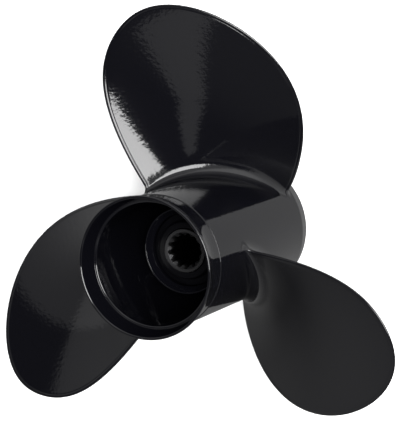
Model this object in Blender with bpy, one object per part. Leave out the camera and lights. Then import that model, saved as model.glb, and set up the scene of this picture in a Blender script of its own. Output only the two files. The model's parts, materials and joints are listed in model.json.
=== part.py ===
"""Boat propeller with three blades and the exhaust through its hub.

Units are metres. The shaft axis is Z, with the bow end of the hub on the floor plane at Z = 0
and the aft end, where the exhaust leaves, at the top. Seen from aft, X points right and Y up.
"""

import bmesh
import bpy
import numpy as np
from math import asin, atan2, cos, pi, radians, sin, sqrt

BLADES = 3
FIRST_BLADE_ANGLE = radians(90)
GAP = 0.0003

# Outer hub barrel
HUB_LENGTH = 0.1824
FRONT_RIM_RADIUS = 0.0463
FRONT_NOSE_LENGTH = 0.0206
BARREL_FRONT_RADIUS = 0.0522
BARREL_AFT_RADIUS = 0.0481
BARREL_WALL = 0.0042
FLARE_LENGTH = 0.0249
AFT_RIM_RADIUS = 0.0516
AFT_LIP_WIDTH = 0.0023
AFT_LIP_ROUND = 0.0010
MOUTH_STEP_RADIUS = 0.0450
MOUTH_DEPTH = 0.0130
HUB_SEGMENTS = 72

# Inner hub tube, with the ribs that carry it in the barrel
TUBE_RADIUS = 0.0318
TUBE_BORE_RADIUS = 0.0272
TUBE_FRONT_Z = 0.012
TUBE_AFT_Z = 0.1181
TUBE_LIP_WIDTH = 0.0010
TUBE_CHAMFER = 0.0045
RIB_THICKNESS = 0.0065
RIB_FRONT_Z = 0.014
RIB_AFT_Z = 0.090
RIB_EMBED = 0.0015

# Rubber bush and splined sleeve
BUSH_COLLAR_RADIUS = 0.0210
BUSH_COLLAR_LENGTH = 0.006
BUSH_COLLAR_SLOPE = 0.0015
BUSH_FRONT_Z = 0.015
BUSH_AFT_Z = 0.1164
SLEEVE_RADIUS = 0.0161
SLEEVE_FRONT_Z = 0.005
SLEEVE_AFT_Z = 0.1174
SPLINE_TEETH = 13
SPLINE_ROOT_RADIUS = 0.0135
SPLINE_TIP_RADIUS = 0.0118
SPLINE_TOOTH_SHARE = 0.42
SPLINE_FLANK_SHARE = 0.09

# Blades: the aft face lies on a helix that leans aft towards the tip
BLADE_RADIUS = 0.1778
BLADE_PITCH = 0.371
BLADE_ROOT_Z = 0.0861
BLADE_LEAN = 0.347
BLADE_LEAN_EASE = 0.571
ROOT_EMBED = 0.0022
BLADE_SECTIONS = 13
CHORD_STEPS = 12

# Angle of the blade's edge from its middle line, in degrees, at even steps of the way round:
# from the trailing edge at the hub, over the tip, to the leading edge at the hub
EDGE_ANGLES = (30.3, 26.0, 20.0, 10.9, 0.7, -13.9, -32.0, -46.3, -58.2)

# Blade thickness and root fillets
ROOT_THICKNESS = 0.0100
TIP_THICKNESS = 0.0060
TRAILING_THICKNESS = 0.0024
LEADING_THICKNESS = 0.0016
ROOT_FILLET = 0.010
EDGE_FILLET = 0.0035
FILLET_STEPS = (0.08, 0.25, 0.55, 1.0)


def clear_scene():
    for item in list(bpy.data.objects):
        bpy.data.objects.remove(item, do_unlink=True)


def make_material(name, colour, roughness, metallic=0.0, coat=0.0):
    material = bpy.data.materials.new(name)
    material.use_nodes = True
    shader = material.node_tree.nodes["Principled BSDF"]
    shader.inputs["Base Color"].default_value = (*colour, 1.0)
    shader.inputs["Roughness"].default_value = roughness
    shader.inputs["Metallic"].default_value = metallic
    shader.inputs["Coat Weight"].default_value = coat
    return material


def add_object(name, bm, material=None):
    """Turns a bmesh into an object with outward faces and smooth round sides."""
    bmesh.ops.recalc_face_normals(bm, faces=bm.faces)
    mesh = bpy.data.meshes.new(name)
    bm.to_mesh(mesh)
    bm.free()
    mesh.shade_smooth()
    mesh.set_sharp_from_angle(angle=radians(35))
    thing = bpy.data.objects.new(name, mesh)
    bpy.context.scene.collection.objects.link(thing)
    if material:
        mesh.materials.append(material)
    return thing


def ring(bm, radius, height, steps):
    """One closed ring of points round the shaft axis."""
    angles = [2 * pi * i / steps for i in range(steps)]
    return [bm.verts.new((radius * cos(a), radius * sin(a), height)) for a in angles]


def bridge(bm, first, second):
    """A strip of faces between two closed rings with the same number of points."""
    count = len(first)
    for i in range(count):
        j = (i + 1) % count
        bm.faces.new((first[i], first[j], second[j], second[i]))


def turned_body(name, profile, steps, material=None):
    """A closed ring-shaped body turned round Z from a closed profile of (radius, height) points."""
    bm = bmesh.new()
    rings = [ring(bm, radius, height, steps) for radius, height in profile]
    for i, first in enumerate(rings):
        bridge(bm, first, rings[(i + 1) % len(rings)])
    return add_object(name, bm, material)


def barrel_radius(height):
    """Outside radius of the barrel, which widens a little towards the bow."""
    share = (height - FRONT_NOSE_LENGTH) / (HUB_LENGTH - FLARE_LENGTH - FRONT_NOSE_LENGTH)
    return BARREL_FRONT_RADIUS + (BARREL_AFT_RADIUS - BARREL_FRONT_RADIUS) * share


def barrel_profile():
    """The outer hub: rounded nose, barrel, then the flared ring with its rounded lip."""
    nose = BARREL_FRONT_RADIUS - FRONT_RIM_RADIUS
    step_height = HUB_LENGTH - MOUTH_DEPTH
    outside = [
        (FRONT_RIM_RADIUS, 0.0),
        (FRONT_RIM_RADIUS + 0.55 * nose, FRONT_NOSE_LENGTH * 0.30),
        (FRONT_RIM_RADIUS + 0.84 * nose, FRONT_NOSE_LENGTH * 0.65),
        (BARREL_FRONT_RADIUS, FRONT_NOSE_LENGTH),
        (BARREL_AFT_RADIUS, HUB_LENGTH - FLARE_LENGTH),
        (AFT_RIM_RADIUS - 0.0022, HUB_LENGTH - 0.010),
        (AFT_RIM_RADIUS, HUB_LENGTH - AFT_LIP_ROUND),
    ]
    lip = [
        (AFT_RIM_RADIUS - AFT_LIP_ROUND, HUB_LENGTH),
        (AFT_RIM_RADIUS - AFT_LIP_WIDTH, HUB_LENGTH),
    ]
    inside = [
        (AFT_RIM_RADIUS - AFT_LIP_WIDTH - 0.0006, HUB_LENGTH - AFT_LIP_ROUND),
        (MOUTH_STEP_RADIUS, step_height),
        (BARREL_AFT_RADIUS - BARREL_WALL, step_height - 0.0015),
        (BARREL_AFT_RADIUS - BARREL_WALL, HUB_LENGTH - FLARE_LENGTH),
        (BARREL_FRONT_RADIUS - BARREL_WALL, FRONT_NOSE_LENGTH + 0.004),
        (FRONT_RIM_RADIUS - BARREL_WALL, 0.0),
    ]
    return outside + lip + inside


def tube_profile():
    """The inner hub tube, with the deep chamfer round its aft mouth."""
    return [
        (TUBE_RADIUS, TUBE_FRONT_Z),
        (TUBE_RADIUS, TUBE_AFT_Z),
        (TUBE_RADIUS - TUBE_LIP_WIDTH, TUBE_AFT_Z),
        (TUBE_BORE_RADIUS, TUBE_AFT_Z - TUBE_CHAMFER),
        (TUBE_BORE_RADIUS, TUBE_FRONT_Z),
    ]


def bush_profile():
    """The rubber bush fills the tube's bore and ends in a narrower collar round the sleeve."""
    outer = TUBE_BORE_RADIUS - GAP
    inner = SLEEVE_RADIUS + GAP
    shoulder = BUSH_AFT_Z - BUSH_COLLAR_LENGTH
    return [
        (outer, BUSH_FRONT_Z),
        (outer, shoulder),
        (BUSH_COLLAR_RADIUS, shoulder + BUSH_COLLAR_SLOPE),
        (BUSH_COLLAR_RADIUS, BUSH_AFT_Z),
        (inner, BUSH_AFT_Z),
        (inner, BUSH_FRONT_Z),
    ]


def rib(index):
    """A radial wall between the inner tube and the barrel, in line with one blade."""
    angle = FIRST_BLADE_ANGLE + 2 * pi * index / BLADES
    half = RIB_THICKNESS / 2
    bm = bmesh.new()
    corners = []
    for height in (RIB_FRONT_Z, RIB_AFT_Z):
        barrel_bore = barrel_radius(max(height, FRONT_NOSE_LENGTH)) - BARREL_WALL
        for radius in (TUBE_RADIUS - RIB_EMBED, barrel_bore + RIB_EMBED):
            for side in (-half, half):
                x = radius * cos(angle) - side * sin(angle)
                y = radius * sin(angle) + side * cos(angle)
                corners.append(bm.verts.new((x, y, height)))
    bmesh.ops.convex_hull(bm, input=corners)
    return add_object(f"rib_shape_{index + 1}", bm)


def spline_bends(values):
    """Second differences of a smooth curve that passes through evenly spaced values."""
    count = len(values)
    matrix = np.eye(count)
    right = np.zeros(count)
    for i in range(1, count - 1):
        matrix[i, i - 1:i + 2] = (1, 4, 1)
        right[i] = 6 * (values[i - 1] - 2 * values[i] + values[i + 1])
    return np.linalg.solve(matrix, right)


EDGE_BENDS = spline_bends(EDGE_ANGLES)


def edge_angle(way):
    """Angle of the blade's edge: way 0 is the trailing edge at the hub, 1 the leading edge there."""
    last = len(EDGE_ANGLES) - 1
    i = min(int(way * last), last - 1)
    t = way * last - i
    s = 1 - t
    straight = s * EDGE_ANGLES[i] + t * EDGE_ANGLES[i + 1]
    bend = (s ** 3 - s) * EDGE_BENDS[i] + (t ** 3 - t) * EDGE_BENDS[i + 1]
    return radians(straight + bend / 6)


def helix_height(radius, angle):
    """Height of the blade's aft face at a radius and an angle from the blade's middle line."""
    out = radius - BARREL_AFT_RADIUS
    lean = BLADE_LEAN * out - BLADE_LEAN_EASE * out ** 2
    return BLADE_ROOT_Z + BLADE_PITCH * angle / (2 * pi) + lean


def thickness_at(across, share):
    """Blade thickness: across runs from -1 at the leading edge to 1 at the trailing edge."""
    half = sqrt(1 - share ** 2)
    edge = (TRAILING_THICKNESS + LEADING_THICKNESS) / 2
    edge += (TRAILING_THICKNESS - LEADING_THICKNESS) / 2 * across * half
    middle = ROOT_THICKNESS + (TIP_THICKNESS - ROOT_THICKNESS) * share
    return edge + (middle - edge) * (1 - across ** 2) * half ** 2


def fillet_at(rise, size):
    """How far a root fillet stands out from the blade's face at a rise above the barrel."""
    reach = size - min(size, max(rise, FILLET_STEPS[0] * size))
    return size - sqrt(size ** 2 - reach ** 2)


def blade_point(across, rise, aft_side, blade_angle):
    """One point of a blade's aft or bow face, at a rise above the barrel."""
    share = max(0.0, rise / (BLADE_RADIUS - BARREL_AFT_RADIUS))
    way = asin(share) / pi
    lead = edge_angle(1 - way)
    trail = edge_angle(way)
    angle = (lead + trail) / 2 + (trail - lead) / 2 * across
    # Near the hub the sections follow the tapered barrel, and further out plain cylinders
    near = max(0.0, 1 - 3 * share)
    near = near * near * (3 - 2 * near)
    plain = BARREL_AFT_RADIUS + rise
    cone = barrel_radius(helix_height(plain, angle)) - BARREL_AFT_RADIUS
    radius = plain + near * cone
    stretch = fillet_at(rise, EDGE_FILLET) * across
    fillet = fillet_at(rise, EDGE_FILLET + (ROOT_FILLET - EDGE_FILLET) * (1 - across ** 2))
    offset = fillet if aft_side else -fillet - thickness_at(across, share)
    slope = atan2(BLADE_PITCH / (2 * pi), radius)
    angle += stretch / radius
    height = helix_height(radius, angle) + offset * cos(slope)
    turn = blade_angle + angle - offset * sin(slope) / radius
    radius = plain + near * (barrel_radius(height) - BARREL_AFT_RADIUS)
    return radius * cos(turn), radius * sin(turn), height


def section_points(rise, blade_angle):
    """Closed loop round one blade section that lies a rise above the barrel."""
    places = [-cos(pi * step / CHORD_STEPS) for step in range(CHORD_STEPS + 1)]
    aft_face = [blade_point(place, rise, True, blade_angle) for place in places]
    bow_face = [blade_point(place, rise, False, blade_angle) for place in places]
    return aft_face + bow_face[::-1]


def blade(index):
    """One blade as a closed shape whose root ends inside the barrel's wall."""
    blade_angle = FIRST_BLADE_ANGLE + 2 * pi * index / BLADES
    reach = BLADE_RADIUS - BARREL_AFT_RADIUS
    rises = [-ROOT_EMBED] + [ROOT_FILLET * step for step in FILLET_STEPS]
    start = asin(ROOT_FILLET / reach)
    for step in range(1, BLADE_SECTIONS + 1):
        rises.append(reach * sin(start + (pi / 2 - start) * step / (BLADE_SECTIONS + 0.4)))
    bm = bmesh.new()
    loops = []
    for rise in rises:
        loops.append([bm.verts.new(point) for point in section_points(rise, blade_angle)])
    for first, second in zip(loops, loops[1:]):
        bridge(bm, first, second)
    for loop in (loops[0], loops[-1]):
        last = len(loop) - 1
        for i in range(CHORD_STEPS):
            bm.faces.new((loop[i], loop[i + 1], loop[last - i - 1], loop[last - i]))
    return add_object(f"blade_shape_{index + 1}", bm)


def splined_sleeve(material):
    """A plain tube outside, with the shaft's spline along its bore."""
    outline = []
    tooth = 2 * pi / SPLINE_TEETH
    half = tooth * SPLINE_TOOTH_SHARE / 2
    flank = tooth * SPLINE_FLANK_SHARE
    for i in range(SPLINE_TEETH):
        middle = FIRST_BLADE_ANGLE + i * tooth
        outline.append((SPLINE_ROOT_RADIUS, middle - half - flank))
        outline.append((SPLINE_TIP_RADIUS, middle - half + flank))
        outline.append((SPLINE_TIP_RADIUS, middle + half - flank))
        outline.append((SPLINE_ROOT_RADIUS, middle + half + flank))
    bm = bmesh.new()
    rings = []
    for radius_of in (lambda r: SLEEVE_RADIUS, lambda r: r):
        for height in (SLEEVE_FRONT_Z, SLEEVE_AFT_Z):
            points = [(radius_of(r) * cos(a), radius_of(r) * sin(a), height) for r, a in outline]
            rings.append([bm.verts.new(point) for point in points])
    outer_front, outer_aft, inner_front, inner_aft = rings
    bridge(bm, outer_front, outer_aft)
    bridge(bm, outer_aft, inner_aft)
    bridge(bm, inner_aft, inner_front)
    bridge(bm, inner_front, outer_front)
    return add_object("splined_sleeve", bm, material)


def fuse(body, extras):
    """Joins the extra shapes into the body and keeps them only as guides."""
    for extra in extras:
        union = body.modifiers.new(f"join {extra.name}", "BOOLEAN")
        union.operation = "UNION"
        union.solver = "EXACT"
        union.object = extra
        extra.hide_render = True
        extra.display_type = "WIRE"


def build():
    clear_scene()
    paint = make_material("gloss_black_paint", (0.012, 0.012, 0.014), 0.12, coat=0.5)
    rubber = make_material("bush_rubber", (0.02, 0.02, 0.02), 0.75)
    steel = make_material("sleeve_metal", (0.32, 0.31, 0.30), 0.38, metallic=1.0)

    casting = turned_body("propeller_casting", barrel_profile(), HUB_SEGMENTS, paint)
    shapes = [turned_body("tube_shape", tube_profile(), HUB_SEGMENTS)]
    shapes += [rib(i) for i in range(BLADES)]
    shapes += [blade(i) for i in range(BLADES)]
    fuse(casting, shapes)
    turned_body("rubber_bush", bush_profile(), HUB_SEGMENTS // 2, rubber)
    splined_sleeve(steel)


build()
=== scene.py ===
"""Looks of the boat propeller: a gloss black casting, its rubber bush and its splined sleeve.

Units are metres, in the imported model's frame: the shaft axis is Z, the front rim of the hub stands
on the floor at Z = 0, and the camera looks down on the aft end as the photograph does.
"""

import bmesh
import bpy
import json
import math
import numpy as np
from math import asin, cos, pi, radians, sin
from mathutils import Matrix, Vector
from mathutils.geometry import delaunay_2d_cdt

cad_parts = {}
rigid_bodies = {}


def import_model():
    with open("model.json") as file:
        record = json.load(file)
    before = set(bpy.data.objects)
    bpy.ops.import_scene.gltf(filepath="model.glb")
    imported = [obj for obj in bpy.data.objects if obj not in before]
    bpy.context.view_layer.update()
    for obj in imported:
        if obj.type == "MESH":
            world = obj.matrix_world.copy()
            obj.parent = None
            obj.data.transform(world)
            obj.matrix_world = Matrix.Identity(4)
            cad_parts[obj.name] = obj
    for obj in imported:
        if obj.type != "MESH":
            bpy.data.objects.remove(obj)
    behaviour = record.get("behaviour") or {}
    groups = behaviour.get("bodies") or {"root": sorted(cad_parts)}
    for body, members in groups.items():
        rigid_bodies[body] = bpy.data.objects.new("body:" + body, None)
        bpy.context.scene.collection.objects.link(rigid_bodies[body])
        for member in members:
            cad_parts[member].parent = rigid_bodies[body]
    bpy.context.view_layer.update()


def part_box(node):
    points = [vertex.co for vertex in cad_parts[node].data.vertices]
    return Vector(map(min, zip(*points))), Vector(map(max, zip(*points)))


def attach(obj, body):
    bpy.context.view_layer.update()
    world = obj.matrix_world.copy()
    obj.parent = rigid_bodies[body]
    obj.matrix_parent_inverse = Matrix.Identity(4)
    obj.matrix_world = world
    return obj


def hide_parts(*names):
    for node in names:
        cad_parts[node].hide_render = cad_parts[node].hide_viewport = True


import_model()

BLADES = 3
FIRST_BLADE_ANGLE = radians(90)

# Hub barrel
HUB_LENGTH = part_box("propeller_casting")[1].z
FRONT_RIM_RADIUS = 0.0463
FRONT_NOSE_LENGTH = 0.0206
FRONT_SHOULDER_RADIUS = 0.0501
FRONT_SHOULDER_Z = 0.0076
BARREL_FRONT_RADIUS = 0.0522
BARREL_AFT_RADIUS = 0.0481
BARREL_WALL = 0.0042
FLARE_LENGTH = 0.0249
AFT_RIM_RADIUS = 0.0516
AFT_LIP_WIDTH = 0.0023
RIDGE_STEP = 0.00035
MOUTH_STEP_RADIUS = 0.0450
MOUTH_DEPTH = 0.0130
TURN_STEPS = 144

# Inner tube, ribs, bush and sleeve
TUBE_RADIUS = 0.0318
TUBE_BORE_RADIUS = 0.0272
TUBE_FRONT_Z = 0.012
TUBE_AFT_Z = 0.1181
TUBE_LIP_WIDTH = 0.0010
TUBE_CHAMFER = 0.0045
RIB_HALF_WIDTH = 0.00325
RIB_FRONT_Z = 0.014
RIB_AFT_Z = 0.090
RIB_EMBED = 0.0015
RIB_FILLET = 0.003
GAP = 0.0003
BUSH_FRONT_Z = 0.015
BUSH_AFT_Z = 0.1164
BUSH_COLLAR_RADIUS = 0.0210
BUSH_COLLAR_LENGTH = 0.0060
SLEEVE_RADIUS = 0.0161
SLEEVE_FRONT_Z = 0.005
SLEEVE_AFT_Z = 0.1174
SPLINE_TEETH = 13
SPLINE_ROOT_RADIUS = 0.0134
SPLINE_TIP_RADIUS = 0.0112
SPLINE_LEAD = 0.0003

# Blades
BLADE_RADIUS = 0.1778
BLADE_PITCH = 0.371
BLADE_ROOT_Z = 0.0861
BLADE_LEAN = 0.347
BLADE_LEAN_EASE = 0.571
EDGE_ANGLES = (30.3, 26.0, 20.0, 10.9, 0.7, -13.9, -32.0, -46.3, -58.2)
ROOT_THICKNESS = 0.0100
TIP_THICKNESS = 0.0060
TRAILING_THICKNESS = 0.0024
LEADING_THICKNESS = 0.0016
ROOT_FILLET = 0.012
EDGE_FILLET = 0.0035
TRAILING_RUNOUT = 0.0065
REACH = BLADE_RADIUS - BARREL_AFT_RADIUS

# Camera, set from the photograph
IMAGE_WIDTH = 400
IMAGE_HEIGHT = 421
CAMERA_DISTANCE = 1.2499
CAMERA_SCALE = 1449.0
AFT_RIM_PIXEL = (143.165, 268.611)
CAMERA_RIGHT = Vector((0.90012, -0.06528, -0.43072))
CAMERA_UP = Vector((-0.00926, 0.98562, -0.16873))


def barrel_radius(height):
    share = (height - FRONT_NOSE_LENGTH) / (HUB_LENGTH - FLARE_LENGTH - FRONT_NOSE_LENGTH)
    return BARREL_FRONT_RADIUS + (BARREL_AFT_RADIUS - BARREL_FRONT_RADIUS) * share


def spline_bends(values):
    count = len(values)
    matrix = np.eye(count)
    right = np.zeros(count)
    for i in range(1, count - 1):
        matrix[i, i - 1:i + 2] = (1, 4, 1)
        right[i] = 6 * (values[i - 1] - 2 * values[i] + values[i + 1])
    return np.linalg.solve(matrix, right)


EDGE = np.array(EDGE_ANGLES)
EDGE_BENDS = spline_bends(EDGE_ANGLES)


def edge_angle(way):
    last = len(EDGE) - 1
    place = np.clip(way, 0, 1) * last
    i = np.minimum(place.astype(int), last - 1)
    t = place - i
    s = 1 - t
    straight = s * EDGE[i] + t * EDGE[i + 1]
    bend = (s ** 3 - s) * EDGE_BENDS[i] + (t ** 3 - t) * EDGE_BENDS[i + 1]
    return np.radians(straight + bend / 6)


def helix_height(radius, angle):
    out = radius - BARREL_AFT_RADIUS
    lean = BLADE_LEAN * out - BLADE_LEAN_EASE * out ** 2
    return BLADE_ROOT_Z + BLADE_PITCH * angle / (2 * pi) + lean


def fillet_at(rise, size):
    reach = np.clip(1 - rise / size, 0, 1)
    return size * (1 - np.sqrt(1 - reach ** 2))


def blade_point(x, y, through):
    """Points of the blade over the half disc: x to the trailing edge, y to the tip, through 1 on the
    aft face and -1 on the bow face. The blade's middle line is at angle 0."""
    x = np.asarray(x, float)
    y = np.asarray(y, float)
    share = np.clip(y, 0, 1 - 1e-9)
    way = np.arcsin(share) / pi
    trail = edge_angle(way)
    lead = edge_angle(1 - way)
    angle = (trail + lead) / 2 + (trail - lead) / 2 / np.sqrt(1 - share ** 2) * x
    rise = REACH * y
    near = np.clip(1 - 3 * y, 0, 1)
    near = near * near * (3 - 2 * near)
    plain = BARREL_AFT_RADIUS + rise
    radius = plain + near * (barrel_radius(helix_height(plain, angle)) - BARREL_AFT_RADIUS)
    size = EDGE_FILLET + (ROOT_FILLET - EDGE_FILLET) * np.clip(1 - x * x, 0, 1)
    fillet = fillet_at(rise, size)
    runout = EDGE_FILLET + (TRAILING_RUNOUT - EDGE_FILLET) * np.clip(x, 0, 1)
    stretch = fillet_at(rise, runout) * x
    edge = (TRAILING_THICKNESS + LEADING_THICKNESS) / 2
    edge = edge + (TRAILING_THICKNESS - LEADING_THICKNESS) / 2 * x
    middle = ROOT_THICKNESS + (TIP_THICKNESS - ROOT_THICKNESS) * y
    thick = edge + (middle - edge) * np.clip(1 - x * x - y * y, 0, 1)
    offset = -thick / 2 + (thick / 2 + fillet) * through
    slope = np.arctan2(BLADE_PITCH / (2 * pi), radius)
    angle = angle + stretch / radius
    height = helix_height(radius, angle) + offset * np.cos(slope)
    turn = angle - offset * np.sin(slope) / radius
    radius = plain + near * (barrel_radius(height) - BARREL_AFT_RADIUS)
    return np.stack([radius * np.cos(turn), radius * np.sin(turn), height], -1)


class Shell:
    """Collects points and faces of one closed mesh. Equal points are welded when it is finished."""

    def __init__(self):
        self.points = []
        self.faces = []

    def add(self, points, faces):
        start = len(self.points)
        self.points.extend(map(tuple, points))
        self.faces.extend(tuple(start + i for i in face) for face in faces)

    def add_grid(self, grid):
        """A sheet of four-sided faces over rows of points."""
        rows, columns = grid.shape[:2]
        faces = []
        for r in range(rows - 1):
            for c in range(columns - 1):
                a = r * columns + c
                faces.append((a, a + 1, a + columns + 1, a + columns))
        self.add(grid.reshape(-1, 3), faces)

    def finish(self, name):
        bm = bmesh.new()
        verts = [bm.verts.new(point) for point in self.points]
        for face in self.faces:
            corners = [verts[i] for i in face]
            bm.faces.new(corners)
        bmesh.ops.remove_doubles(bm, verts=bm.verts, dist=2e-6)
        bmesh.ops.dissolve_degenerate(bm, edges=bm.edges, dist=1e-7)
        bmesh.ops.recalc_face_normals(bm, faces=bm.faces)
        mesh = bpy.data.meshes.new(name)
        bm.to_mesh(mesh)
        bm.free()
        mesh.shade_smooth()
        thing = bpy.data.objects.new(name, mesh)
        bpy.context.scene.collection.objects.link(thing)
        return thing


# Blade surface grid
ACROSS_STEPS = 96
FILLET_ROWS = 12
UP_ROWS = 54
CAP_STEPS = 12
EDGE_INSET = 0.0015
EDGE_ROUND = 0.0014
EDGE_GROOVE = ((0.0032, 0.0), (0.0029, 0.00003), (0.0027, 0.00011), (0.0025, 0.00014), (0.0023, 0.00011), (0.0021, 0.00005), (0.0018, 0.00003))


def shares_per_metre(way):
    """How much of the half disc's radius one metre square to the blade's edge takes up."""
    x = np.cos(way * pi)
    y = np.sin(way * pi)
    small = 1e-4
    outward = (blade_point(x, y, 1.0) - blade_point(x * (1 - small), y * (1 - small), 1.0)) / small
    along = blade_point(np.cos(way * pi + small), np.sin(way * pi + small), 1.0)
    along = along - blade_point(np.cos(way * pi - small), np.sin(way * pi - small), 1.0)
    along /= np.linalg.norm(along, axis=-1, keepdims=True)
    outward = outward - along * np.sum(outward * along, -1, keepdims=True)
    return 1 / np.linalg.norm(outward, axis=-1)


def face_places():
    """Half disc places of the face grid, one row for each height above the hub."""
    fillet = [1 - sin(pi / 2 * (1 - i / FILLET_ROWS)) for i in range(FILLET_ROWS)]
    fillet = [ROOT_FILLET / REACH * share for share in fillet]
    first = ROOT_FILLET / REACH
    upper = [first + (1 - first) * i / UP_ROWS for i in range(UP_ROWS + 1)]
    v = np.array(fillet + upper)[:, None]
    u = np.linspace(-1, 1, ACROSS_STEPS + 1)[None, :]
    inside = 1 - EDGE_INSET
    x = u * np.sqrt(1 - v * v / 2) * inside
    y = v * np.sqrt(1 - u * u / 2) * inside
    return x, y


def blade_sheets(shell):
    """Adds one blade's two faces and its rounded edge, and returns the foot's loop on the barrel."""
    x, y = face_places()
    way_table = np.linspace(0.0005, 0.9995, 400)
    share_table = shares_per_metre(way_table)
    depth = np.interp(np.arctan2(y, x) / pi, way_table, share_table)
    start = 1 - depth * EDGE_GROOVE[0][0]
    aft = blade_point(x * start, y * start, 1.0)
    start = 1 - depth * EDGE_ROUND
    bow = blade_point(x * start, y * start, -1.0)
    shell.add_grid(aft)
    shell.add_grid(bow[:, ::-1])
    rim_x = np.concatenate([x[:, -1], x[-1, -2::-1], x[-2::-1, 0]])
    rim_y = np.concatenate([y[:, -1], y[-1, -2::-1], y[-2::-1, 0]])
    rim_depth = np.interp(np.arctan2(rim_y, rim_x) / pi, way_table, share_table)
    thick = (TRAILING_THICKNESS + LEADING_THICKNESS) / 2
    thick = thick + (TRAILING_THICKNESS - LEADING_THICKNESS) / 2 * rim_x
    rows = []
    for inward, sink in EDGE_GROOVE:
        scale = 1 - rim_depth * inward
        rows.append(blade_point(rim_x * scale, rim_y * scale, 1 - 2 * sink / thick))
    top = 1 - 2 * EDGE_GROOVE[-1][1] / thick
    for step in range(CAP_STEPS + 1):
        turn = pi * step / CAP_STEPS
        out = sin(turn) if step < CAP_STEPS else 0.0
        across = cos(turn) * (top if step * 2 < CAP_STEPS else np.ones_like(thick))
        scale = 1 - rim_depth * EDGE_ROUND * (1 - out)
        rows.append(blade_point(rim_x * scale, rim_y * scale, across))
    cap = np.array(rows)
    shell.add_grid(cap)
    foot = np.concatenate([aft[0, :-1], cap[:-1, 0], bow[0, ::-1][:-1], cap[::-1, -1][:-1]])
    return foot


# Barrel surface round the blade's foot
SECTOR_START = radians(-75)
SECTOR_STEPS = TURN_STEPS // BLADES
BARREL_ROWS = 34
FOOT_CLEARANCE = 0.0011


def barrel_sheet(shell, foot):
    """Adds a third of the barrel's outside, joined point to point to the blade's foot."""
    low = FRONT_NOSE_LENGTH
    high = HUB_LENGTH - FLARE_LENGTH
    scale = BARREL_AFT_RADIUS
    angle = np.arctan2(foot[:, 1], foot[:, 0])
    loop = np.stack([angle * scale, foot[:, 2]], -1)
    columns = SECTOR_START + 2 * pi / TURN_STEPS * np.arange(SECTOR_STEPS + 1)
    rows = np.linspace(low, high, BARREL_ROWS + 1)
    border = [(a * scale, low) for a in columns]
    border += [(columns[-1] * scale, z) for z in rows[1:]]
    border += [(a * scale, high) for a in columns[-2::-1]]
    border += [(columns[0] * scale, z) for z in rows[-2:0:-1]]
    inner = [(a * scale, z) for a in columns[1:-1] for z in rows[1:-1]]
    inner = [p for p in inner if clear_of_loop(p, loop)]
    points = [Vector(p) for p in border] + [Vector(p) for p in loop] + [Vector(p) for p in inner]
    edges = [(i, (i + 1) % len(border)) for i in range(len(border))]
    start = len(border)
    edges += [(start + i, start + (i + 1) % len(loop)) for i in range(len(loop))]
    verts, _, faces, _, _, _ = delaunay_2d_cdt(points, edges, [], 0, 1e-9)
    flat = np.array([(p.x, p.y) for p in verts])
    kept = [f for f in faces if not inside_loop(flat[list(f)].mean(0), loop)]
    radius = barrel_radius(flat[:, 1])
    turn = flat[:, 0] / scale
    solid = np.stack([radius * np.cos(turn), radius * np.sin(turn), flat[:, 1]], -1)
    # The foot's own points are kept exact, so that they weld to the blade
    for point in foot:
        nearest = np.argmin(((solid - point) ** 2).sum(1))
        solid[nearest] = point
    shell.add(solid, kept)


def inside_loop(point, loop):
    ahead = np.roll(loop, -1, axis=0)
    crosses = (loop[:, 1] > point[1]) != (ahead[:, 1] > point[1])
    run = np.where(crosses, ahead[:, 1] - loop[:, 1], 1.0)
    at = loop[:, 0] + (point[1] - loop[:, 1]) / run * (ahead[:, 0] - loop[:, 0])
    return bool(np.sum(crosses & (point[0] < at)) % 2)


def clear_of_loop(point, loop):
    distance = np.sqrt(((loop - np.array(point)) ** 2).sum(1)).min()
    return distance > FOOT_CLEARANCE and not inside_loop(point, loop)


def turned_grid(profile, start=SECTOR_START):
    """Rows of points round the shaft axis for a profile of (radius, height) points."""
    turn = start + 2 * pi / TURN_STEPS * np.arange(TURN_STEPS + 1)
    turn[-1] = turn[0]
    profile = np.array(profile)
    return np.stack([
        profile[:, :1] * np.cos(turn)[None],
        profile[:, :1] * np.sin(turn)[None],
        profile[:, 1:] * np.ones_like(turn)[None],
    ], -1)


def arc(centre, size, first, last, steps):
    """Points on an arc of the profile, with angles in degrees from the outward direction."""
    turns = [radians(first + (last - first) * i / steps) for i in range(steps + 1)]
    return [(centre[0] + size * cos(t), centre[1] + size * sin(t)) for t in turns]


def rounded(profile, open_ends=True):
    """The profile of (radius, height, round) corners, with each corner turned into an arc."""
    points = []
    count = len(profile)
    for i, (radius, height, size) in enumerate(profile):
        if size <= 0 or (open_ends and i in (0, count - 1)):
            points.append((radius, height))
            continue
        here = Vector((radius, height))
        before = (Vector(profile[i - 1][:2]) - here).normalized()
        after = (Vector(profile[(i + 1) % count][:2]) - here).normalized()
        half = before.angle(after) / 2
        run = size / math.tan(half)
        centre = here + (before + after).normalized() * size / sin(half)
        first = here + before * run - centre
        last = here + after * run - centre
        bend = first.angle_signed(last)
        steps = max(3, round(abs(bend) / radians(15)))
        for k in range(steps + 1):
            turn = -bend * k / steps
            points.append((
                centre.x + first.x * cos(turn) - first.y * sin(turn),
                centre.y + first.x * sin(turn) + first.y * cos(turn),
            ))
    return points


def flare_line(steps):
    """The flared ring widens evenly faster towards its lip."""
    foot = HUB_LENGTH - FLARE_LENGTH + 0.0006
    start = BARREL_AFT_RADIUS - RIDGE_STEP
    widening = AFT_RIM_RADIUS - start
    points = []
    for i in range(steps - 1, 0, -1):
        share = i / steps
        radius = start + widening * (0.22 * share + 0.78 * share ** 4)
        points.append((radius, foot + (HUB_LENGTH - foot) * share, 0))
    return points


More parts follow.
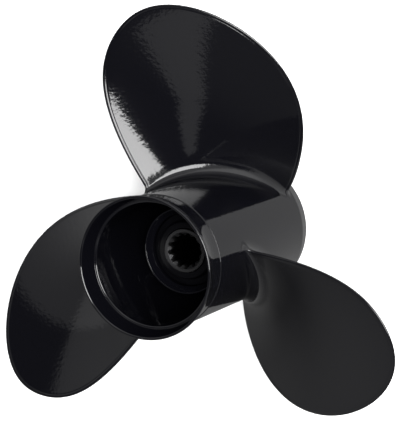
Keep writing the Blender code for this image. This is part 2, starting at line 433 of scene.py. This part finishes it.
def barrel_profile():
    """From the barrel's lower edge round the front rim, up the bore, over the aft lip and back down."""
    front_bore = FRONT_RIM_RADIUS - BARREL_WALL
    aft_bore = BARREL_AFT_RADIUS - BARREL_WALL
    step_height = HUB_LENGTH - MOUTH_DEPTH
    inner_lip = AFT_RIM_RADIUS - AFT_LIP_WIDTH
    crease = HUB_LENGTH - FLARE_LENGTH
    return rounded([
        (BARREL_FRONT_RADIUS, FRONT_NOSE_LENGTH, 0),
        (BARREL_FRONT_RADIUS + 0.00012, FRONT_NOSE_LENGTH - 0.0005, 0.0003),
        (BARREL_FRONT_RADIUS - 0.00004, FRONT_NOSE_LENGTH - 0.0012, 0.0004),
        (FRONT_SHOULDER_RADIUS, FRONT_SHOULDER_Z, 0.004),
        (FRONT_RIM_RADIUS, 0, 0.0010),
        (front_bore, 0, 0.0010),
        (BARREL_FRONT_RADIUS - BARREL_WALL, FRONT_NOSE_LENGTH + 0.004, 0.010),
        (aft_bore, crease, 0.010),
        (aft_bore, step_height - 0.0003, 0.0014),
        (MOUTH_STEP_RADIUS + 0.0006, step_height, 0.0005),
        (inner_lip - 0.0003, HUB_LENGTH - 0.0004, 0.0010),
        (inner_lip + 0.0003, HUB_LENGTH, 0.0003),
        (AFT_RIM_RADIUS, HUB_LENGTH, 0.0010),
        *flare_line(16),
        (BARREL_AFT_RADIUS - RIDGE_STEP, crease + 0.0006, 0.0003),
        (BARREL_AFT_RADIUS, crease + 0.0006, 0.00045),
        (BARREL_AFT_RADIUS, crease, 0),
    ])


def build_shell():
    """The outer hub and its blades as one closed mesh."""
    third = Shell()
    foot = blade_sheets(third)
    barrel_sheet(third, foot)
    whole = Shell()
    base = np.array(third.points)
    for k in range(BLADES):
        turn = FIRST_BLADE_ANGLE + 2 * pi * k / BLADES
        spin = np.array([[cos(turn), -sin(turn), 0], [sin(turn), cos(turn), 0], [0, 0, 1]])
        whole.add(base @ spin.T, third.faces)
    whole.add_grid(turned_grid(barrel_profile(), SECTOR_START + FIRST_BLADE_ANGLE))
    return whole.finish("cast_propeller")


def turned_body(name, corners):
    """A closed ring with rounded corners, turned about the shaft axis."""
    points = rounded(corners, open_ends=False)
    shell = Shell()
    shell.add_grid(turned_grid(points + points[:1]))
    return shell.finish(name)


def build_tube():
    return turned_body("inner_tube", [
        (TUBE_RADIUS, TUBE_FRONT_Z, 0.0008),
        (TUBE_RADIUS, TUBE_AFT_Z, 0.0004),
        (TUBE_RADIUS - TUBE_LIP_WIDTH, TUBE_AFT_Z, 0.0004),
        (TUBE_BORE_RADIUS, TUBE_AFT_Z - TUBE_CHAMFER, 0.0006),
        (TUBE_BORE_RADIUS, TUBE_FRONT_Z, 0.0008),
    ])


def build_rib(index):
    """A radial wall between the inner tube and the barrel, wider where it meets them."""
    turn = FIRST_BLADE_ANGLE + 2 * pi * index / BLADES
    ends = 8
    heights = [RIB_FRONT_Z + RIB_HALF_WIDTH * (1 - cos(pi / 2 * i / ends)) for i in range(ends + 1)]
    narrow = [sin(pi / 2 * i / ends) for i in range(ends + 1)]
    heights += [RIB_AFT_Z - (h - RIB_FRONT_Z) for h in heights[::-1]]
    narrow += narrow[::-1]
    rings = []
    for height, share in zip(heights, narrow):
        inner = TUBE_RADIUS - RIB_EMBED
        outer = barrel_radius(max(height, FRONT_NOSE_LENGTH)) - BARREL_WALL + RIB_EMBED
        side = []
        for i in range(25):
            radius = inner + (outer - inner) * i / 24
            near = min(radius - TUBE_RADIUS, outer - RIB_EMBED - radius)
            near = min(max(near, 0), RIB_FILLET)
            flare = RIB_FILLET - (RIB_FILLET ** 2 - (RIB_FILLET - near) ** 2) ** 0.5
            side.append((radius, max(RIB_HALF_WIDTH * share, 0.0002) + flare * share))
        ring = [(r, w) for r, w in side] + [(r, -w) for r, w in side[::-1]]
        rings.append([(r * cos(turn) - w * sin(turn), r * sin(turn) + w * cos(turn), height) for r, w in ring])
    grid = np.array([ring + ring[:1] for ring in rings])
    shell = Shell()
    shell.add_grid(grid)
    count = len(rings[0])
    shell.add(rings[0], [tuple(range(count))])
    shell.add(rings[-1], [tuple(range(count))])
    return shell.finish(f"rib_{index + 1}")


def unite(body, extras):
    """Joins the extra shapes into the body and removes them."""
    for extra in extras:
        union = body.modifiers.new("join", "BOOLEAN")
        union.operation = "UNION"
        union.solver = "EXACT"
        union.object = extra
    bake(body)
    for extra in extras:
        bpy.data.objects.remove(extra)


def bake(thing):
    """Replaces the piece's mesh with what its modifiers make of it."""
    graph = bpy.context.evaluated_depsgraph_get()
    mesh = bpy.data.meshes.new_from_object(thing.evaluated_get(graph))
    thing.modifiers.clear()
    thing.data = mesh


def smooth_normals(thing, exact_barrel=False):
    """Large faces keep their own direction, and the barrel gets the exact cone's normals."""
    mesh = thing.data
    mesh.shade_smooth()
    mesh.set_sharp_from_angle(angle=radians(42))
    weighted = thing.modifiers.new("weighted normals", "WEIGHTED_NORMAL")
    weighted.mode = "FACE_AREA"
    weighted.keep_sharp = True
    bake(thing)
    if not exact_barrel:
        return
    mesh = thing.data
    normals = np.zeros(len(mesh.loops) * 3)
    mesh.corner_normals.foreach_get("vector", normals)
    normals = normals.reshape(-1, 3)
    fall = (BARREL_AFT_RADIUS - BARREL_FRONT_RADIUS) / (HUB_LENGTH - FLARE_LENGTH - FRONT_NOSE_LENGTH)
    for face in mesh.polygons:
        points = [mesh.vertices[i].co for i in face.vertices]
        if all(abs(p.xy.length - barrel_radius(p.z)) < 4e-6 for p in points):
            if min(p.z for p in points) < FRONT_NOSE_LENGTH - 1e-5:
                continue
            if max(p.z for p in points) > HUB_LENGTH - FLARE_LENGTH + 1e-5:
                continue
            for loop, point in zip(face.loop_indices, points):
                normal = Vector((point.x, point.y, -fall * point.xy.length)).normalized()
                normals[loop] = normal
    mesh.normals_split_custom_set(normals.tolist())


def build_casting():
    casting = build_shell()
    unite(casting, [build_tube()] + [build_rib(i) for i in range(BLADES)])
    smooth_normals(casting, exact_barrel=True)
    return casting


def build_bush():
    """The rubber bush fills the tube and ends in a narrower collar round the sleeve."""
    outer = TUBE_BORE_RADIUS - GAP
    inner = SLEEVE_RADIUS + GAP
    shoulder = BUSH_AFT_Z - BUSH_COLLAR_LENGTH
    bush = turned_body("rubber_ring", [
        (outer, BUSH_FRONT_Z, 0.0010),
        (outer, shoulder, 0.0010),
        (BUSH_COLLAR_RADIUS + 0.0008, shoulder + 0.0012, 0.0012),
        (BUSH_COLLAR_RADIUS, BUSH_AFT_Z, 0.0012),
        (inner, BUSH_AFT_Z, 0.0006),
        (inner, BUSH_FRONT_Z, 0.0006),
    ])
    smooth_normals(bush)
    return bush


def spline_outline(steps):
    """Radius and angle of the points round the spline's bore."""
    outline = []
    middle = (SPLINE_ROOT_RADIUS + SPLINE_TIP_RADIUS) / 2
    half = (SPLINE_ROOT_RADIUS - SPLINE_TIP_RADIUS) / 2
    for i in range(SPLINE_TEETH * steps):
        phase = 2 * pi * i / steps
        wave = math.tanh(1.8 * (cos(phase) + 0.05)) / math.tanh(1.8)
        angle = FIRST_BLADE_ANGLE + phase / SPLINE_TEETH
        outline.append((middle - half * max(-1, min(1, wave)), angle))
    return outline


def build_sleeve():
    """A plain tube outside, with the shaft's spline along its bore and broken end edges."""
    outline = spline_outline(16)
    rows = []
    outer_edge = [(SLEEVE_RADIUS - 0.0004, 0.0), (SLEEVE_RADIUS, 0.0004)]
    for radius, rise in outer_edge:
        rows.append([(radius, a, SLEEVE_FRONT_Z + rise) for _, a in outline])
    for radius, rise in outer_edge[::-1]:
        rows.append([(radius, a, SLEEVE_AFT_Z - rise) for _, a in outline])
    deep = SPLINE_ROOT_RADIUS + SPLINE_LEAD - SPLINE_TIP_RADIUS
    steps = [deep * i / 8 for i in range(9)]
    for down in steps:
        cone = SPLINE_ROOT_RADIUS + SPLINE_LEAD - down
        rows.append([(max(r, cone), a, SLEEVE_AFT_Z - down) for r, a in outline])
    for up in steps[::-1]:
        cone = SPLINE_ROOT_RADIUS + SPLINE_LEAD - up
        rows.append([(max(r, cone), a, SLEEVE_FRONT_Z + up) for r, a in outline])
    rows.append(rows[0])
    grid = np.array([[(r * cos(a), r * sin(a), z) for r, a, z in row + row[:1]] for row in rows])
    shell = Shell()
    shell.add_grid(grid)
    sleeve = shell.finish("metal_sleeve")
    smooth_normals(sleeve)
    return sleeve


def plain_material(name, colour, roughness, metallic=0.0, specular=0.5):
    material = bpy.data.materials.new(name)
    material.use_nodes = True
    shader = material.node_tree.nodes["Principled BSDF"]
    shader.inputs["Base Color"].default_value = (*colour, 1)
    shader.inputs["Roughness"].default_value = roughness
    shader.inputs["Metallic"].default_value = metallic
    shader.inputs["Specular IOR Level"].default_value = specular
    return material


def gloss_paint():
    """Hard black gloss over a casting that isn't quite even."""
    material = plain_material("black_gloss", (0.0016, 0.0016, 0.0024), 0.07)
    nodes, links = material.node_tree.nodes, material.node_tree.links
    shader = nodes["Principled BSDF"]
    place = nodes.new("ShaderNodeTexCoord")
    grain = nodes.new("ShaderNodeTexNoise")
    grain.inputs["Scale"].default_value = 380.0
    grain.inputs["Detail"].default_value = 2.0
    links.new(place.outputs["Object"], grain.inputs["Vector"])
    bump = nodes.new("ShaderNodeBump")
    bump.inputs["Strength"].default_value = 1.0
    bump.inputs["Distance"].default_value = 0.00005
    links.new(grain.outputs["Fac"], bump.inputs["Height"])
    links.new(bump.outputs["Normal"], shader.inputs["Normal"])
    return material


def sleeve_metal():
    """Dull metal at the sleeve's end, fading to painted shade deeper inside its bore."""
    material = plain_material("sleeve_metal_with_painted_bore_shade", (0.15, 0.15, 0.155), 0.5, metallic=1.0)
    nodes, links = material.node_tree.nodes, material.node_tree.links
    place = nodes.new("ShaderNodeTexCoord")
    parts = nodes.new("ShaderNodeSeparateXYZ")
    links.new(place.outputs["Object"], parts.inputs["Vector"])
    # Painted shade: the metal fades to near black between 2.8 mm and 7 mm inside the bore's aft end.
    depth = nodes.new("ShaderNodeMapRange")
    depth.inputs["From Min"].default_value = SLEEVE_AFT_Z - 0.007
    depth.inputs["From Max"].default_value = SLEEVE_AFT_Z - 0.0028
    links.new(parts.outputs["Z"], depth.inputs["Value"])
    painted_bore_shade = nodes.new("ShaderNodeMix")
    painted_bore_shade.data_type = "RGBA"
    painted_bore_shade.inputs["A"].default_value = (0.01, 0.01, 0.012, 1)
    painted_bore_shade.inputs["B"].default_value = (0.15, 0.15, 0.155, 1)
    links.new(depth.outputs["Result"], painted_bore_shade.inputs["Factor"])
    links.new(painted_bore_shade.outputs["Result"], nodes["Principled BSDF"].inputs["Base Color"])
    return material


def give_material(thing, material):
    thing.data.materials.clear()
    thing.data.materials.append(material)


def make_floor():
    """A wide pale floor, and a near-black disc of painted shade inside the hub's front rim."""
    pale = plain_material("floor_white", (0.85, 0.85, 0.85), 0.9)
    # Painted shade: the near-black disc under the hub stands in for the shade inside the hub.
    painted_shade_material = plain_material("painted_shade_patch", (0.03, 0.03, 0.03), 0.9)
    shapes = (("floor", 4.0, 0.0, 4), ("floor_under_hub", FRONT_RIM_RADIUS - 0.002, 0.0001, 64))
    for name, size, height, corners in shapes:
        bm = bmesh.new()
        bmesh.ops.create_circle(bm, cap_ends=True, segments=corners, radius=size)
        mesh = bpy.data.meshes.new(name)
        bm.to_mesh(mesh)
        bm.free()
        patch = bpy.data.objects.new(name, mesh)
        patch.location.z = height - 0.0002
        bpy.context.scene.collection.objects.link(patch)
        give_material(patch, pale if name == "floor" else painted_shade_material)
    bpy.data.objects["floor"].visible_glossy = False


WORLD_BASE = 0.035


def direction(azimuth, polar):
    """A unit direction: azimuth in degrees about the shaft axis from +X, polar in degrees from +Z."""
    a, p = radians(azimuth), radians(polar)
    return Vector((sin(p) * cos(a), sin(p) * sin(a), cos(p)))


def softbox(name, azimuth, polar, distance, along, across, radiance, spin=0.0):
    """A rectangular light that faces the hub. Along and across give its edges as shares of the
    distance: along runs down from the pole, across runs with the azimuth."""
    back = direction(azimuth, polar)
    down = direction(azimuth, polar + 90)
    side = back.cross(down)
    turn = Matrix.Rotation(radians(spin), 3, back)
    down, side = turn @ down, turn @ side
    length = (along[1] - along[0]) * distance
    width = (across[1] - across[0]) * distance
    data = bpy.data.lights.new(name, "AREA")
    data.shape = "RECTANGLE"
    data.size = length
    data.size_y = width
    data.energy = radiance * pi * length * width
    light = bpy.data.objects.new(name, data)
    bpy.context.scene.collection.objects.link(light)
    centre = back + down * (along[0] + along[1]) / 2 + side * (across[0] + across[1]) / 2
    axes = Matrix((down, side, back)).transposed().to_4x4()
    if axes.to_3x3().determinant() < 0:
        axes = Matrix((down, -side, back)).transposed().to_4x4()
    light.matrix_world = Matrix.Translation(centre * distance + Vector((0, 0, 0.09))) @ axes
    return light


def sky_light():
    """Even light from the camera's side that whitens the floor and doesn't show in the gloss."""
    data = bpy.data.lights.new("sky_light", "SUN")
    data.energy = 5.0
    data.angle = radians(18)
    light = bpy.data.objects.new("sky_light", data)
    light.rotation_euler = direction(20, 27).to_track_quat("Z", "Y").to_euler()
    light.visible_glossy = False
    bpy.context.scene.collection.objects.link(light)


class WorldShade:
    """Builds the studio's brightness for each direction from small steps of maths."""

    def __init__(self, tree):
        self.nodes = tree.nodes
        self.links = tree.links
        self.way = self.nodes.new("ShaderNodeTexCoord").outputs["Generated"]

    def toward(self, azimuth, polar):
        """The cosine of the angle to a direction."""
        dot = self.nodes.new("ShaderNodeVectorMath")
        dot.operation = "DOT_PRODUCT"
        dot.inputs[1].default_value = direction(azimuth, polar)
        self.links.new(self.way, dot.inputs[0])
        return dot.outputs["Value"]

    def ramp(self, value, low, high, strength=1.0, straight=False):
        """Rises smoothly from 0 at low to the strength at high."""
        node = self.nodes.new("ShaderNodeMapRange")
        node.interpolation_type = "LINEAR" if straight else "SMOOTHSTEP"
        node.inputs["From Min"].default_value = min(low, high)
        node.inputs["From Max"].default_value = max(low, high)
        node.inputs["To Min"].default_value = 0.0 if low < high else strength
        node.inputs["To Max"].default_value = strength if low < high else 0.0
        self.links.new(value, node.inputs["Value"])
        return node.outputs["Result"]

    def join(self, operation, *values):
        total = values[0]
        for value in values[1:]:
            node = self.nodes.new("ShaderNodeMath")
            node.operation = operation
            self.links.new(total, node.inputs[0])
            if isinstance(value, float):
                node.inputs[1].default_value = value
            else:
                self.links.new(value, node.inputs[1])
            total = node.outputs["Value"]
        return total


def make_world():
    """A dim studio: a pale ceiling panel on one side, a pale wall on another, paler below."""
    world = bpy.data.worlds.new("studio")
    world.use_nodes = True
    background = world.node_tree.nodes["Background"]
    background.inputs["Color"].default_value = (1, 1, 1, 1)
    shade = WorldShade(world.node_tree)
    height = shade.toward(0, 0)
    glow = shade.join("POWER", shade.ramp(shade.toward(75, 50), 0.0, 1.0, 1.0, straight=True), 22.0)
    glow = shade.join("MULTIPLY", glow, 1.25)
    flat = shade.ramp(shade.toward(90, 48), cos(radians(58)), cos(radians(36)), 0.33)
    edge = shade.ramp(shade.toward(54.5, 105.5), -0.012, 0.012)
    panel = shade.join("MULTIPLY", shade.join("ADD", glow, flat), edge)
    wall = shade.join(
        "MULTIPLY",
        shade.ramp(shade.toward(155, 90), cos(radians(80)), cos(radians(20)), 0.46),
        shade.ramp(shade.toward(70, 10), 0.671, 0.651),
        shade.ramp(height, -0.60, 0.55),
    )
    below = shade.join("ADD", shade.ramp(shade.toward(0, 90), -0.35, 0.2, 0.31), 0.15)
    below = shade.join("MULTIPLY", shade.ramp(height, -0.62, -0.86), below)
    side_glow = shade.ramp(shade.toward(22, 76), cos(radians(38)), cos(radians(14)), 0.75)
    backdrop = shade.join(
        "MULTIPLY",
        shade.ramp(shade.toward(15, 110), -0.8, 0.9, 1.0, straight=True),
        shade.ramp(height, 0.31, 0.19),
        shade.ramp(height, -0.80, -0.68),
    )
    far_wall = shade.ramp(shade.toward(-128, 68), cos(radians(35)), cos(radians(8)), 0.18)
    low_wall = shade.ramp(shade.toward(178, 115), cos(radians(30)), cos(radians(6)), 0.16)
    right_side = shade.ramp(shade.toward(-105, 42), cos(radians(40)), cos(radians(10)), 0.11)
    total = shade.join(
        "ADD", panel, wall, below, side_glow, backdrop, far_wall, low_wall, right_side, WORLD_BASE
    )
    shade.links.new(total, background.inputs["Strength"])
    bpy.context.scene.world = world


def make_camera():
    """Puts the aft rim's centre on its pixel, at the photograph's angle and distance."""
    back = CAMERA_RIGHT.cross(CAMERA_UP).normalized()
    aside = (AFT_RIM_PIXEL[0] - IMAGE_WIDTH / 2) / CAMERA_SCALE
    below = (AFT_RIM_PIXEL[1] - IMAGE_HEIGHT / 2) / CAMERA_SCALE
    rim_centre = Vector((0, 0, HUB_LENGTH))
    place = rim_centre - CAMERA_RIGHT * aside + CAMERA_UP * below + back * CAMERA_DISTANCE
    data = bpy.data.cameras.new("camera")
    data.sensor_fit = "VERTICAL"
    data.sensor_height = 24.0
    data.lens = data.sensor_height * CAMERA_SCALE * CAMERA_DISTANCE / IMAGE_HEIGHT
    camera = bpy.data.objects.new("camera", data)
    bpy.context.scene.collection.objects.link(camera)
    axes = Matrix((CAMERA_RIGHT, CAMERA_UP, back)).transposed()
    camera.matrix_world = Matrix.Translation(place) @ axes.to_4x4()
    bpy.context.scene.camera = camera


def dress():
    """Builds the shown pieces, gives them their finish and puts them in place of the CAD nodes."""
    paint = gloss_paint()
    rubber = plain_material("dark_rubber", (0.0010, 0.0010, 0.0014), 0.35, specular=0.25)
    metal = sleeve_metal()
    looks = [
        (build_casting(), paint, "propeller_casting", "gloss_black_paint"),
        (build_bush(), rubber, "rubber_bush", "bush_rubber"),
        (build_sleeve(), metal, "splined_sleeve", "sleeve_metal"),
    ]
    for thing, material, node, slot in looks:
        give_material(thing, material)
        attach(thing, "root")
        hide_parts(node)


make_camera()
make_world()
make_floor()
softbox("main_softbox", 0, 45, 1.7, (-0.355, 0.335), (-0.165, 0.42), 12.5)
softbox("grey_strip_near", -45, 0, 1.6, (0.36, 1.0), (-0.25, -0.03), 0.46)
softbox("grey_strip_far", -45, 0, 1.6, (0.85, 1.98), (-0.66, -0.40), 0.46, spin=25)
sky_light()
dress()
view = bpy.context.scene.view_settings
view.view_transform = "Standard"
for thing in bpy.data.objects:
    if thing.type == "MESH" and not thing.hide_render:
        bm = bmesh.new()
        bm.from_mesh(thing.data)
        print("INFO", thing.name, "tris", sum(len(f.verts) - 2 for f in bm.faces),
              "open", sum(not e.is_manifold for e in bm.edges), "vol", bm.calc_volume() * 1e6)
